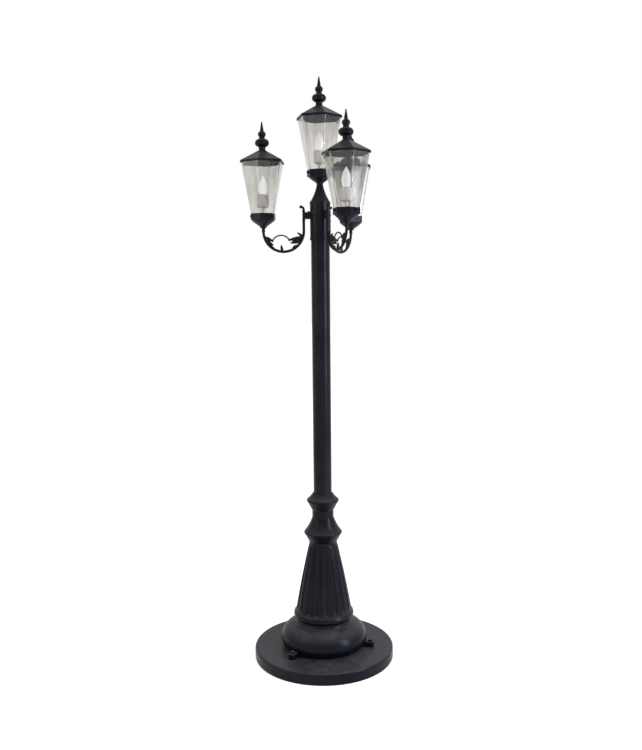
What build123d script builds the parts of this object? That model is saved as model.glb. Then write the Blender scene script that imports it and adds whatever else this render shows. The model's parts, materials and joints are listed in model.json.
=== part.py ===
from build123d import *
from math import cos, radians, sin, sqrt
import os

# Garden lamp post: a round base, a fluted pedestal, a plain pole, three scroll arms
# with a lantern each, and a fourth lantern on the spire at the top.
# Millimetres. The origin is on the post's axis at the underside of the base, +Z up.
# The left arm points along -X; the front arm points to -60 and the back arm to +60 degrees.

# ---- clearances ------------------------------------------------------------------
SLIP = 0.1            # a part slid over or into another and then fixed
LOOSE = 0.5           # a part dropped into a recess
LIFT_GAP = 0.3        # between a part that moves and its seat

# ---- base disc and its cover -----------------------------------------------------
BASE_RADIUS = 294.0
BASE_HEIGHT = 48.0
BASE_WALL = 10.0
BASE_TOP_ROUND = 9.0
BASE_FOOT_ROUND = 3.0
BASE_RIB_THICKNESS = 10.0
BASE_RIB_COUNT = 6
BASE_RIB_AZIMUTH = 20.0
CABLE_HOLE_RADIUS = 20.0
COVER_THICKNESS = 4.0
COVER_BOSS_RADIUS = 10.0
COVER_BOSS_PLACE = 240.0
COVER_SCREW_COUNT = 3
COVER_SCREW_RADIUS = 3.0
COVER_SCREW_LENGTH = 20.0
COVER_SCREW_HEAD_RADIUS = 6.0

# ---- drum bolted on the base disc ------------------------------------------------
DRUM_HEIGHT = 122.0
DRUM_FOOT_RADIUS = 160.0
DRUM_RADIUS = 181.0
DRUM_BELLY_HEIGHT = 36.0
DRUM_SHOULDER_RADIUS = 130.0
DRUM_SHOULDER_HEIGHT = 100.0
DRUM_NECK_RADIUS = 114.0
DRUM_WALL = 8.0
DRUM_DECK_THICKNESS = 10.0
EAR_COUNT = 3
EAR_AZIMUTH = -6.5
EAR_REACH = 215.0
EAR_WIDTH = 28.0
EAR_HEIGHT = 23.0
EAR_BOLT_PLACE = 199.0
EAR_BOLT_RADIUS = 5.0
EAR_BOLT_HEAD_RADIUS = 9.5
EAR_BOLT_HEAD_HEIGHT = 7.0

# ---- pedestal --------------------------------------------------------------------
PEDESTAL_HEIGHT = 330.0
FOOT_MOULDING_RADIUS = 127.0
FOOT_MOULDING_HEIGHT = 36.0
PEDESTAL_FOOT_RADIUS = 117.0
PEDESTAL_MIDDLE_RADIUS = 90.5
PEDESTAL_TOP_RADIUS = 59.0
PEDESTAL_TOP_BAND = 9.0
PEDESTAL_WALL = 12.0
PEDESTAL_DECK_THICKNESS = 12.0
FLUTE_COUNT = 18
FLUTE_AZIMUTH = 0.0
FLUTE_FOOT_RADIUS = 17.0
FLUTE_FOOT_DEPTH = 4.6
FLUTE_TOP_RADIUS = 9.0
FLUTE_TOP_DEPTH = 2.8
FLUTE_END_MARGIN = 7.0
PEDESTAL_BOLT_COUNT = 3
PEDESTAL_BOLT_PLACE = 88.0
PEDESTAL_BOLT_RADIUS = 4.0
PEDESTAL_BOLT_HEAD_RADIUS = 7.5
PEDESTAL_BOLT_HEAD_HEIGHT = 5.5

# ---- collars on the pole ---------------------------------------------------------
LOWER_COLLAR_HEIGHT = 105.0
LOWER_COLLAR_RADIUS = 80.0
LOWER_COLLAR_NOSE_HEIGHT = 38.0
NECK_HEIGHT = 28.0
NECK_RADIUS = 45.0
UPPER_COLLAR_HEIGHT = 73.0
UPPER_COLLAR_RADIUS = 67.5
UPPER_COLLAR_NOSE_HEIGHT = 42.0
UPPER_COLLAR_TOP_RADIUS = 42.5
COLLAR_NOSE = 6.5

# ---- pole and its foot -----------------------------------------------------------
POLE_RADIUS = 38.1
POLE_WALL = 3.0
POLE_LENGTH = 1842.0
FLANGE_RADIUS = 84.0
FLANGE_THICKNESS = 10.0
FLANGE_SOCKET_WALL = 7.0
FLANGE_SOCKET_HEIGHT = 56.0
FLANGE_BOLT_COUNT = 4
FLANGE_BOLT_PLACE = 66.0
FLANGE_BOLT_RADIUS = 5.0
FLANGE_BOLT_HEAD_RADIUS = 9.5
FLANGE_BOLT_HEAD_HEIGHT = 7.0

# ---- hub and spire ---------------------------------------------------------------
HUB_HEIGHT = 145.0
HUB_WALL = 3.0
HUB_BEAD_HEIGHT = 7.0
HUB_BEAD_PROUD = 1.5
HUB_SCREW_RADIUS = 2.5
HUB_SCREW_HEAD_RADIUS = 4.5
HUB_SCREW_HEAD_HEIGHT = 3.0
ARM_DROP = 46.0       # pole's top down to the middle of the arms' stubs
LUG_REACH = 52.0
LUG_WIDTH = 18.0
LUG_HEIGHT = 28.0
SPIRE_HEIGHT = 77.0
SPIRE_BAND_RADIUS = 42.5
SPIRE_BAND_HEIGHT = 8.0
SPIRE_WAIST_RADIUS = 23.5
SPIRE_PLUG_DEPTH = 15.0

# ---- scroll arms -----------------------------------------------------------------
ARM_COUNT = 3
ARM_REACH = 232.7     # post's axis to the axis of an arm's lantern
BAR_PLACE = 67.0      # post's axis to the axis of the arm's upright bar
ARM_TUBE_RADIUS = 5.6
BOW_DROP = 61.0       # middle of the stub down to the springing of the bow
STEM_HEIGHT = 14.0    # springing of the bow up to the lantern's cup
STEM_RADIUS = 7.6
STEM_TAPER_LENGTH = 38.0
BAR_RISE = 26.0       # middle of the stub up to the start of the curl
CURL_OUT = 8.0
CURL_UP = 13.0
CURL_BALL_RADIUS = 6.6
SPIGOT_RADIUS = 8.0
SPIGOT_LENGTH = 9.0
ARM_SCREW_RADIUS = 2.5
ARM_SCREW_HEAD_RADIUS = 4.5
ARM_SCREW_HEAD_HEIGHT = 3.5
ARCH_TUBE_RADIUS = 3.0
BUD_RADIUS = 5.4
BUD_HEIGHT = 31.0
BUD_SHIFT = 8.0
POD_TIP = 0.8
POD_ROLL = 55.0

# ---- lanterns --------------------------------------------------------------------
CUP_HEIGHT = 57.0
CUP_NECK_RADIUS = 12.8
CUP_COLLAR_RADIUS = 54.5          # to a corner of the hexagon
CUP_COLLAR_HEIGHT = 25.0
CUP_BOWL_RADIUS = 47.6
CUP_FLOOR_THICKNESS = 6.0
CUP_BASE_THICKNESS = 13.0
CORNER_ROUND = 5.0
GASKET_THICKNESS = 2.0
GASKET_WIDTH = 6.0
GLASS_HEIGHT = 201.0              # cup's rim to the roof's eave
GLASS_FOOT_RADIUS = 52.0          # to a corner, at the cup's rim
GLASS_TOP_RADIUS = 92.0           # to a corner, at the eave
GLASS_WALL = 3.0
GLASS_IN_ROOF = 6.0
ROOF_RADIUS = 97.0                # to a corner
ROOF_LIP_HEIGHT = 9.0
ROOF_LIP_PROUD = 1.5
ROOF_BEAD_HEIGHT = 4.0
ROOF_SLOPE_HEIGHT = 40.0
ROOF_CROWN_RADIUS = 20.0
ROOF_LEDGE = 8.0
ROOF_SHELL = 6.0
FINIAL_HEIGHT = 116.0
FINIAL_FOOT_RADIUS = 16.5
FINIAL_NECK_RADIUS = 13.5
FINIAL_BULB_RADIUS = 28.5
FINIAL_WAIST_RADIUS = 11.5
FINIAL_BEAD_RADIUS = 16.0
FINIAL_SPIKE_RADIUS = 6.5
FINIAL_TIP_RADIUS = 2.4
FINIAL_SHANK_RADIUS = 5.0
FINIAL_SHANK_LENGTH = 14.0
ROOF_BOSS_RADIUS = 11.0
THUMB_SCREW_COUNT = 3
THUMB_SCREW_RADIUS = 2.0
THUMB_SCREW_HEAD_RADIUS = 4.8
THUMB_SCREW_HEAD_LENGTH = 6.0
THUMB_SCREW_DROP = 9.0

# ---- inside the lanterns ---------------------------------------------------------
NIPPLE_RADIUS = 5.0
NIPPLE_BORE_RADIUS = 3.0
NIPPLE_ENGAGEMENT = 14.0
NUT_RADIUS = 9.5
NUT_HEIGHT = 5.0
SOCKET_RISE = 24.0                # cup's rim up to the socket's underside
SOCKET_RADIUS = 24.0
SOCKET_HEIGHT = 52.0
SOCKET_FLOOR = 24.0
SOCKET_NIPPLE_DEPTH = 8.0
LAMP_CAP_RADIUS = 13.2
LAMP_CAP_LENGTH = 26.0
LAMP_CONTACT_RADIUS = 5.0
LAMP_CONTACT_LENGTH = 3.0
LAMP_RADIUS = 19.0
LAMP_LENGTH = 76.0
LAMP_WIDEST_HEIGHT = 27.0
LAMP_NECK_RADIUS = 12.4
LAMP_TIP_RADIUS = 3.0

# ---- wiring ----------------------------------------------------------------------
LEAD_RADIUS = 2.3
LEAD_BEND = 16.0
LEAD_PLACE = 10.0
LEAD_HOLE_RADIUS = 3.1
RISER_RADIUS = 4.0
RISER_BEND = 32.0
JUNCTION_HEIGHT = 26.0
JUNCTION_DROP = 110.0             # pole's top down to the junction block's top
TERMINAL_LENGTH = 40.0
TERMINAL_WIDTH = 22.0
TERMINAL_PLACE = 70.0
TERMINAL_HEIGHT = 30.0
TERMINAL_ENTRY_DROP = 22.0
GLAND_AZIMUTH = 90.0
GLAND_BORE_RADIUS = 4.0
GLAND_BODY_RADIUS = 8.0
GLAND_FLANGE_RADIUS = 12.0
GLAND_FLANGE_LENGTH = 6.0
GLAND_DOME_RADIUS = 10.5
GLAND_DOME_LENGTH = 12.0
GLAND_TAIL_LENGTH = 8.0
GLAND_HEIGHT = 22.0

# ---- levels that follow from the sizes above -------------------------------------
BASE_TOP = BASE_HEIGHT
DRUM_TOP = BASE_TOP + DRUM_HEIGHT
PEDESTAL_TOP = DRUM_TOP + PEDESTAL_HEIGHT
LOWER_COLLAR_TOP = PEDESTAL_TOP + LOWER_COLLAR_HEIGHT
NECK_TOP = LOWER_COLLAR_TOP + NECK_HEIGHT
UPPER_COLLAR_TOP = NECK_TOP + UPPER_COLLAR_HEIGHT
POLE_FOOT = BASE_TOP + FLANGE_THICKNESS
POLE_TOP = POLE_FOOT + POLE_LENGTH
POLE_BORE = POLE_RADIUS - POLE_WALL
COLLAR_BORE = POLE_RADIUS + SLIP
SPIRE_TOP = POLE_TOP + SPIRE_HEIGHT
STUB_LEVEL = POLE_TOP - ARM_DROP
BOW_LEVEL = STUB_LEVEL - BOW_DROP
BOW_RADIUS = (ARM_REACH - BAR_PLACE) / 2
BOW_MIDDLE = (ARM_REACH + BAR_PLACE) / 2
STEM_TOP = BOW_LEVEL + STEM_HEIGHT
JUNCTION_TOP = POLE_TOP - JUNCTION_DROP
EAVE = GLASS_HEIGHT
GLASS_FLARE = (GLASS_TOP_RADIUS - GLASS_FOOT_RADIUS) / GLASS_HEIGHT
CUP_FLOOR = -CUP_COLLAR_HEIGHT + CUP_FLOOR_THICKNESS
CUP_BOWL_FLOOR = -CUP_HEIGHT + CUP_BASE_THICKNESS
GLASS_FOOT = CUP_FLOOR + GASKET_THICKNESS
GLASS_TOP = EAVE + GLASS_IN_ROOF
ROOF_SEAT = GLASS_TOP + LIFT_GAP
ROOF_CROWN = EAVE + ROOF_LIP_HEIGHT + ROOF_SLOPE_HEIGHT
SOCKET_TOP = SOCKET_RISE + SOCKET_HEIGHT
LAMP_CAP_FOOT = SOCKET_RISE + SOCKET_FLOOR + LIFT_GAP + LAMP_CONTACT_LENGTH
LAMP_FOOT = LAMP_CAP_FOOT + LAMP_CAP_LENGTH
FLAT = cos(radians(30))           # a hexagon's flat, as a share of its corner radius

ARMS = {"left": 180.0, "front": -60.0, "back": 60.0}
# How far each lantern is clocked on its stem: azimuth of a corner of its hexagon.
CLOCKING = {"left": 30.0, "front": 50.0, "back": 34.0, "top": 48.0}


# ---- helpers ---------------------------------------------------------------------
def outline(start, *steps):
    """Closed face: a step is an end point, or a (middle, end) pair for an arc."""
    edges = []
    here = start
    for step in steps:
        if isinstance(step[0], tuple):
            middle, end = step
            edges.append(ThreePointArc(here, middle, end))
        else:
            end = step
            edges.append(Line(here, end))
        here = end
    edges.append(Line(here, start))
    return make_face(edges)


def turned(start, *steps):
    """Solid of revolution about Z from an outline of (radius, height) points."""
    return revolve(Plane.XZ * outline(start, *steps), Axis.Z)


def tube(outer, inner, low, high):
    return turned((inner, low), (outer, low), (outer, high), (inner, high))


def rod(radius, low, high):
    return Pos(0, 0, (low + high) / 2) * Cylinder(radius, high - low)


def hex_rod(corner_radius, low, high):
    return Pos(0, 0, low) * extrude(RegularPolygon(corner_radius, 6), high - low)


def around(count, first, place, shape):
    """Copies of a shape, spaced evenly round the post at one distance from its axis."""
    step = 360 / count
    return [Rot(0, 0, first + step * index) * Pos(place, 0, 0) * shape for index in range(count)]


def group(shapes):
    return Compound(children=[solid for shape in shapes for solid in shape.solids()])


def hexagon(corner_radius, level, corner_round=CORNER_ROUND):
    face = RegularPolygon(corner_radius, 6)
    return Pos(0, 0, level) * fillet(face.vertices(), corner_round)


def hex_frustum(foot_radius, top_radius, low, high):
    """Straight-sided hexagonal solid; its corner rounding grows with its size."""
    top_round = CORNER_ROUND * top_radius / foot_radius
    return loft([hexagon(foot_radius, low), hexagon(top_radius, high, top_round)], ruled=True)


def bolt(radius, length, head_radius, head_height):
    """Hexagon-head bolt: the underside of its head is at 0 and its shank hangs down."""
    return hex_rod(head_radius, 0, head_height) + rod(radius, -length, 0)


def swept(radius, path):
    return sweep(Plane(path @ 0, z_dir=path % 0) * Circle(radius), path=path)


def spindle(start, end, radius, roll=POD_ROLL):
    """Pod between two (reach, height) points of an arm's plane, blunt at its ends.

    The roll turns its seam out of the arm's plane, where other seams lie.
    """
    length = sqrt((end[0] - start[0]) ** 2 + (end[1] - start[1]) ** 2)
    pod = turned((0, 0), (POD_TIP, 0), ((radius, length * 0.45), (POD_TIP, length)), (0, length))
    along = Plane((start[0], 0, start[1]), z_dir=(end[0] - start[0], 0, end[1] - start[1]))
    return along * Rot(0, 0, roll) * pod


# ---- base ------------------------------------------------------------------------
def base_disc():
    rim = BASE_RADIUS - BASE_WALL
    deck = BASE_TOP - BASE_WALL
    lower = BASE_FOOT_ROUND
    upper = BASE_TOP_ROUND
    bend = 1 - cos(radians(45))
    disc = turned(
        (CABLE_HOLE_RADIUS, deck),
        (rim, deck),
        (rim, 0),
        (BASE_RADIUS - lower, 0),
        ((BASE_RADIUS - lower * bend, lower * bend), (BASE_RADIUS, lower)),
        (BASE_RADIUS, BASE_TOP - upper),
        ((BASE_RADIUS - upper * bend, BASE_TOP - upper * bend), (BASE_RADIUS - upper, BASE_TOP)),
        (CABLE_HOLE_RADIUS, BASE_TOP),
    )
    ring_radius = FLANGE_BOLT_PLACE + FLANGE_BOLT_HEAD_RADIUS
    rib_length = rim + BASE_WALL / 2 - ring_radius
    rib_height = deck - COVER_THICKNESS
    rib = Pos(rib_length / 2, 0, COVER_THICKNESS + rib_height / 2) * Box(
        rib_length, BASE_RIB_THICKNESS, rib_height
    )
    disc += around(BASE_RIB_COUNT, BASE_RIB_AZIMUTH, ring_radius, rib)
    boss = rod(COVER_BOSS_RADIUS, COVER_THICKNESS, deck)
    disc += around(COVER_SCREW_COUNT, BASE_RIB_AZIMUTH, COVER_BOSS_PLACE, boss)
    disc -= around(
        COVER_SCREW_COUNT,
        BASE_RIB_AZIMUTH,
        COVER_BOSS_PLACE,
        rod(COVER_SCREW_RADIUS + SLIP, 0, COVER_SCREW_LENGTH + LOOSE),
    )
    bolt_hole = rod(EAR_BOLT_RADIUS + SLIP, deck, BASE_TOP)
    disc -= around(EAR_COUNT, EAR_AZIMUTH, EAR_BOLT_PLACE, bolt_hole)
    flange_hole = rod(FLANGE_BOLT_RADIUS + SLIP, deck, BASE_TOP)
    disc -= around(FLANGE_BOLT_COUNT, 45, FLANGE_BOLT_PLACE, flange_hole)
    gland_hole = Rot(0, 90, 0) * rod(GLAND_BODY_RADIUS + SLIP, rim - BASE_WALL, BASE_RADIUS + BASE_WALL)
    disc -= Rot(0, 0, GLAND_AZIMUTH) * Pos(0, 0, GLAND_HEIGHT) * gland_hole
    return disc


def cover_screw(extra=0.0):
    """Countersunk screw from below, its head flush in the cover."""
    head = COVER_SCREW_HEAD_RADIUS + extra
    shank = COVER_SCREW_RADIUS + extra
    return turned(
        (0, 0),
        (head, 0),
        (shank, head - shank),
        (shank, COVER_SCREW_LENGTH + extra),
        (0, COVER_SCREW_LENGTH + extra),
    )


def base_cover():
    cover = rod(BASE_RADIUS - BASE_WALL - LOOSE, 0, COVER_THICKNESS)
    holes = around(COVER_SCREW_COUNT, BASE_RIB_AZIMUTH, COVER_BOSS_PLACE, cover_screw(SLIP))
    return cover - holes


def cover_screws():
    return group(around(COVER_SCREW_COUNT, BASE_RIB_AZIMUTH, COVER_BOSS_PLACE, cover_screw()))


def drum():
    foot = BASE_TOP
    belly = foot + DRUM_BELLY_HEIGHT
    shoulder = foot + DRUM_SHOULDER_HEIGHT
    deck = DRUM_TOP - DRUM_DECK_THICKNESS
    wall = DRUM_WALL
    upper_mid = (
        DRUM_SHOULDER_RADIUS + (DRUM_RADIUS - DRUM_SHOULDER_RADIUS) * 0.76,
        belly + (shoulder - belly) * 0.58,
    )
    lower_mid = (
        DRUM_FOOT_RADIUS + (DRUM_RADIUS - DRUM_FOOT_RADIUS) * 0.72,
        foot + DRUM_BELLY_HEIGHT * 0.36,
    )
    body = turned(
        (DRUM_FOOT_RADIUS, foot),
        (lower_mid, (DRUM_RADIUS, belly)),
        (upper_mid, (DRUM_SHOULDER_RADIUS, shoulder)),
        ((DRUM_NECK_RADIUS + 5, shoulder + 5), (DRUM_NECK_RADIUS, shoulder + 14)),
        (DRUM_NECK_RADIUS, DRUM_TOP),
        (COLLAR_BORE, DRUM_TOP),
        (COLLAR_BORE, deck),
        (DRUM_NECK_RADIUS - wall, deck),
        (DRUM_NECK_RADIUS - wall, shoulder),
        (DRUM_SHOULDER_RADIUS - wall, shoulder - wall),
        (upper_mid[0] - wall, upper_mid[1] - wall),
        (DRUM_RADIUS - wall, belly),
        (DRUM_FOOT_RADIUS - wall, foot),
    )
    inner_reach = DRUM_FOOT_RADIUS - wall / 2
    straight = EAR_REACH - EAR_WIDTH / 2 - inner_reach
    ear = Pos(inner_reach + straight / 2, 0, foot + EAR_HEIGHT / 2) * Box(straight, EAR_WIDTH, EAR_HEIGHT)
    ear += Pos(inner_reach + straight, 0, 0) * rod(EAR_WIDTH / 2, foot, foot + EAR_HEIGHT)
    top_edges = ear.edges().group_by(Axis.Z)[-1]
    ear = fillet(top_edges, EAR_HEIGHT / 6)
    body += around(EAR_COUNT, EAR_AZIMUTH, 0, ear)
    hole = rod(EAR_BOLT_RADIUS + SLIP, foot, foot + EAR_HEIGHT)
    body -= around(EAR_COUNT, EAR_AZIMUTH, EAR_BOLT_PLACE, hole)
    deck_hole = rod(PEDESTAL_BOLT_RADIUS + SLIP, deck, DRUM_TOP)
    body -= around(PEDESTAL_BOLT_COUNT, EAR_AZIMUTH, PEDESTAL_BOLT_PLACE, deck_hole)
    return body


def ear_bolts():
    length = EAR_HEIGHT + BASE_WALL
    shape = bolt(EAR_BOLT_RADIUS, length, EAR_BOLT_HEAD_RADIUS, EAR_BOLT_HEAD_HEIGHT)
    head_level = BASE_TOP + EAR_HEIGHT
    return group(around(EAR_COUNT, EAR_AZIMUTH, EAR_BOLT_PLACE, Pos(0, 0, head_level) * shape))


# ---- pedestal and collars --------------------------------------------------------
def pedestal():
    foot = DRUM_TOP
    shaft_foot = foot + FOOT_MOULDING_HEIGHT
    shaft_top = PEDESTAL_TOP - PEDESTAL_TOP_BAND
    middle = (shaft_foot + shaft_top) / 2
    moulding = FOOT_MOULDING_RADIUS
    deck = foot + PEDESTAL_DECK_THICKNESS
    cap = PEDESTAL_TOP - PEDESTAL_TOP_BAND
    body = turned(
        (COLLAR_BORE, foot),
        (moulding - 7, foot),
        ((moulding, foot + FOOT_MOULDING_HEIGHT * 0.42), (moulding - 4, foot + FOOT_MOULDING_HEIGHT * 0.8)),
        (PEDESTAL_FOOT_RADIUS, shaft_foot),
        ((PEDESTAL_MIDDLE_RADIUS, middle), (PEDESTAL_TOP_RADIUS, shaft_top)),
        (PEDESTAL_TOP_RADIUS, PEDESTAL_TOP),
        (COLLAR_BORE, PEDESTAL_TOP),
        (COLLAR_BORE, cap),
        (PEDESTAL_TOP_RADIUS - PEDESTAL_WALL, cap),
        (PEDESTAL_MIDDLE_RADIUS - PEDESTAL_WALL, middle),
        (PEDESTAL_FOOT_RADIUS - PEDESTAL_WALL, deck),
        (COLLAR_BORE, deck),
    )
    low = shaft_foot + FLUTE_END_MARGIN + FLUTE_FOOT_RADIUS / 2
    high = shaft_top - FLUTE_END_MARGIN - FLUTE_TOP_RADIUS / 2
    lean = (PEDESTAL_FOOT_RADIUS - PEDESTAL_TOP_RADIUS) / (shaft_top - shaft_foot)
    low_place = PEDESTAL_FOOT_RADIUS - lean * (low - shaft_foot) + FLUTE_FOOT_RADIUS - FLUTE_FOOT_DEPTH
    high_place = PEDESTAL_FOOT_RADIUS - lean * (high - shaft_foot) + FLUTE_TOP_RADIUS - FLUTE_TOP_DEPTH
    run = sqrt((high - low) ** 2 + (low_place - high_place) ** 2)
    cutter = Pos(0, 0, run / 2) * Cone(FLUTE_FOOT_RADIUS, FLUTE_TOP_RADIUS, run)
    cutter += Sphere(FLUTE_FOOT_RADIUS)
    cutter += Pos(0, 0, run) * Sphere(FLUTE_TOP_RADIUS)
    cutter = Plane((low_place, 0, low), z_dir=(high_place - low_place, 0, high - low)) * cutter
    body -= around(FLUTE_COUNT, FLUTE_AZIMUTH, 0, cutter)
    bolt_hole = rod(PEDESTAL_BOLT_RADIUS + SLIP, foot, deck)
    body -= around(PEDESTAL_BOLT_COUNT, EAR_AZIMUTH, PEDESTAL_BOLT_PLACE, bolt_hole)
    return body


def pedestal_bolts():
    length = DRUM_DECK_THICKNESS + PEDESTAL_DECK_THICKNESS
    shape = bolt(PEDESTAL_BOLT_RADIUS, length, PEDESTAL_BOLT_HEAD_RADIUS, PEDESTAL_BOLT_HEAD_HEIGHT)
    shape = Pos(0, 0, DRUM_TOP - DRUM_DECK_THICKNESS) * Rot(180, 0, 0) * shape
    return group(around(PEDESTAL_BOLT_COUNT, EAR_AZIMUTH, PEDESTAL_BOLT_PLACE, shape))


def collar(foot, top, foot_radius, nose_radius, nose_height, top_radius):
    """Turned ring round the pole: a cone out to a rounded nose, then a hollow curve in."""
    nose = foot + nose_height
    half = COLLAR_NOSE
    hollow = (top_radius + (nose_radius - top_radius) * 0.36, nose + half + (top - nose - half) * 0.48)
    return turned(
        (COLLAR_BORE, foot),
        (foot_radius, foot),
        (nose_radius - half * 0.45, nose - half),
        ((nose_radius, nose), (nose_radius - half * 0.55, nose + half)),
        (hollow, (top_radius, top)),
        (COLLAR_BORE, top),
    )


def lower_collar():
    return collar(
        PEDESTAL_TOP, LOWER_COLLAR_TOP, PEDESTAL_TOP_RADIUS,
        LOWER_COLLAR_RADIUS, LOWER_COLLAR_NOSE_HEIGHT, NECK_RADIUS,
    )


def neck_sleeve():
    return tube(NECK_RADIUS, COLLAR_BORE, LOWER_COLLAR_TOP, NECK_TOP)


def upper_collar():
    return collar(
        NECK_TOP, UPPER_COLLAR_TOP, NECK_RADIUS,
        UPPER_COLLAR_RADIUS, UPPER_COLLAR_NOSE_HEIGHT, UPPER_COLLAR_TOP_RADIUS,
    )


# ---- pole ------------------------------------------------------------------------
def pole():
    body = tube(POLE_RADIUS, POLE_BORE, POLE_FOOT, POLE_TOP)
    lead_hole = Rot(0, 90, 0) * rod(LEAD_HOLE_RADIUS, POLE_BORE / 2, POLE_RADIUS * 2)
    screw_hole = Rot(0, 90, 0) * rod(HUB_SCREW_RADIUS + SLIP, POLE_BORE / 2, POLE_RADIUS * 2)
    for azimuth in ARMS.values():
        body -= Rot(0, 0, azimuth) * Pos(0, 0, STUB_LEVEL) * lead_hole
        body -= Rot(0, 0, azimuth + 60) * Pos(0, 0, STUB_LEVEL) * screw_hole
    return body


def pole_flange():
    socket = COLLAR_BORE + FLANGE_SOCKET_WALL
    top = POLE_FOOT + FLANGE_SOCKET_HEIGHT
    body = turned(
        (CABLE_HOLE_RADIUS, BASE_TOP),
        (FLANGE_RADIUS, BASE_TOP),
        (FLANGE_RADIUS, POLE_FOOT),
        (socket, POLE_FOOT),
        (socket, top),
        (COLLAR_BORE, top),
        (COLLAR_BORE, POLE_FOOT),
        (CABLE_HOLE_RADIUS, POLE_FOOT),
    )
    hole = rod(FLANGE_BOLT_RADIUS + SLIP, BASE_TOP, POLE_FOOT)
    return body - around(FLANGE_BOLT_COUNT, 45, FLANGE_BOLT_PLACE, hole)


def flange_bolts():
    length = FLANGE_THICKNESS + BASE_WALL
    shape = bolt(FLANGE_BOLT_RADIUS, length, FLANGE_BOLT_HEAD_RADIUS, FLANGE_BOLT_HEAD_HEIGHT)
    return group(around(FLANGE_BOLT_COUNT, 45, FLANGE_BOLT_PLACE, Pos(0, 0, POLE_FOOT) * shape))


# ---- hub and spire ---------------------------------------------------------------
def arm_hub():
    foot = POLE_TOP - HUB_HEIGHT
    outer = COLLAR_BORE + HUB_WALL
    bead = outer + HUB_BEAD_PROUD
    body = tube(outer, COLLAR_BORE, foot, POLE_TOP)
    body += tube(bead, outer - HUB_WALL / 2, foot, foot + HUB_BEAD_HEIGHT)
    lug_depth = LUG_REACH - COLLAR_BORE - HUB_WALL / 2
    lug = Pos(LUG_REACH - lug_depth / 2, 0, STUB_LEVEL) * Box(lug_depth, LUG_WIDTH, LUG_HEIGHT)
    spigot_hole = Pos(0, 0, STUB_LEVEL) * Rot(0, 90, 0) * rod(
        SPIGOT_RADIUS + SLIP, LUG_REACH - SPIGOT_LENGTH - LOOSE, LUG_REACH
    )
    lead_hole = Pos(0, 0, STUB_LEVEL) * Rot(0, 90, 0) * rod(LEAD_HOLE_RADIUS, POLE_RADIUS, LUG_REACH)
    screw_place = (LUG_REACH + outer) / 2
    screw_hole = Pos(screw_place, 0, 0) * rod(
        ARM_SCREW_RADIUS + SLIP, STUB_LEVEL, STUB_LEVEL + LUG_HEIGHT / 2
    )
    hub_screw_hole = Pos(0, 0, STUB_LEVEL) * Rot(0, 90, 0) * rod(
        HUB_SCREW_RADIUS + SLIP, POLE_RADIUS, outer + HUB_WALL
    )
    for azimuth in ARMS.values():
        body += Rot(0, 0, azimuth) * lug
    for azimuth in ARMS.values():
        body -= Rot(0, 0, azimuth) * (spigot_hole + lead_hole)
        body -= Rot(0, 0, azimuth) * screw_hole
        body -= Rot(0, 0, azimuth + 60) * hub_screw_hole
    return body


def arm_screws():
    """Screws down through the hub's lugs on to the arms' spigots."""
    outer = COLLAR_BORE + HUB_WALL
    screw = bolt(
        ARM_SCREW_RADIUS, LUG_HEIGHT / 2 - SPIGOT_RADIUS, ARM_SCREW_HEAD_RADIUS, ARM_SCREW_HEAD_HEIGHT
    )
    screw = Pos((LUG_REACH + outer) / 2, 0, STUB_LEVEL + LUG_HEIGHT / 2) * screw
    return group([Rot(0, 0, azimuth) * screw for azimuth in ARMS.values()])


def hub_screws():
    """Screws between the arms, through the hub into the pole's wall."""
    outer = COLLAR_BORE + HUB_WALL
    length = outer - POLE_BORE
    screw = turned(
        (0, -length),
        (HUB_SCREW_RADIUS, -length),
        (HUB_SCREW_RADIUS, LOOSE),
        (HUB_SCREW_HEAD_RADIUS, LOOSE),
        (HUB_SCREW_HEAD_RADIUS, HUB_SCREW_HEAD_HEIGHT / 2),
        (HUB_SCREW_HEAD_RADIUS * 0.6, HUB_SCREW_HEAD_HEIGHT),
        (0, HUB_SCREW_HEAD_HEIGHT),
    )
    screw = Pos(outer, 0, STUB_LEVEL) * Rot(0, 90, 0) * screw
    return group([Rot(0, 0, azimuth + 60) * screw for azimuth in ARMS.values()])


def spire():
    band_top = POLE_TOP + SPIRE_BAND_HEIGHT
    waist_level = band_top + (SPIRE_TOP - band_top) * 0.46
    plug = POLE_BORE - SLIP
    body = turned(
        (0, POLE_TOP - SPIRE_PLUG_DEPTH),
        (plug, POLE_TOP - SPIRE_PLUG_DEPTH),
        (plug, POLE_TOP),
        (SPIRE_BAND_RADIUS, POLE_TOP),
        (SPIRE_BAND_RADIUS, band_top),
        (SPIRE_BAND_RADIUS - 2, band_top),
        ((SPIRE_WAIST_RADIUS, waist_level), (CUP_NECK_RADIUS, SPIRE_TOP)),
        (0, SPIRE_TOP),
    )
    body -= rod(LEAD_HOLE_RADIUS, POLE_TOP - SPIRE_PLUG_DEPTH, SPIRE_TOP)
    body -= rod(NIPPLE_RADIUS + SLIP, SPIRE_TOP - NIPPLE_ENGAGEMENT, SPIRE_TOP)
    return body


# ---- arms ------------------------------------------------------------------------
def bow_point(angle, radius):
    """Point at an angle and a distance from the middle of the arm's bow."""
    return (BOW_MIDDLE + radius * cos(radians(angle)), BOW_LEVEL + radius * sin(radians(angle)))


def lead_route(start_edges, end_level):
    """Down the upright bar, round the bow and up the stem, after the edges given."""
    bow_bottom = (BOW_MIDDLE, 0, BOW_LEVEL - BOW_RADIUS)
    bend = LEAD_BEND
    return Wire(start_edges + [
        TangentArc(
            (BAR_PLACE - bend, 0, STUB_LEVEL), (BAR_PLACE, 0, STUB_LEVEL - bend), tangent=(1, 0, 0)
        ),
        Line((BAR_PLACE, 0, STUB_LEVEL - bend), (BAR_PLACE, 0, BOW_LEVEL)),
        ThreePointArc((BAR_PLACE, 0, BOW_LEVEL), bow_bottom, (ARM_REACH, 0, BOW_LEVEL)),
        Line((ARM_REACH, 0, BOW_LEVEL), (ARM_REACH, 0, end_level)),
    ])


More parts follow.
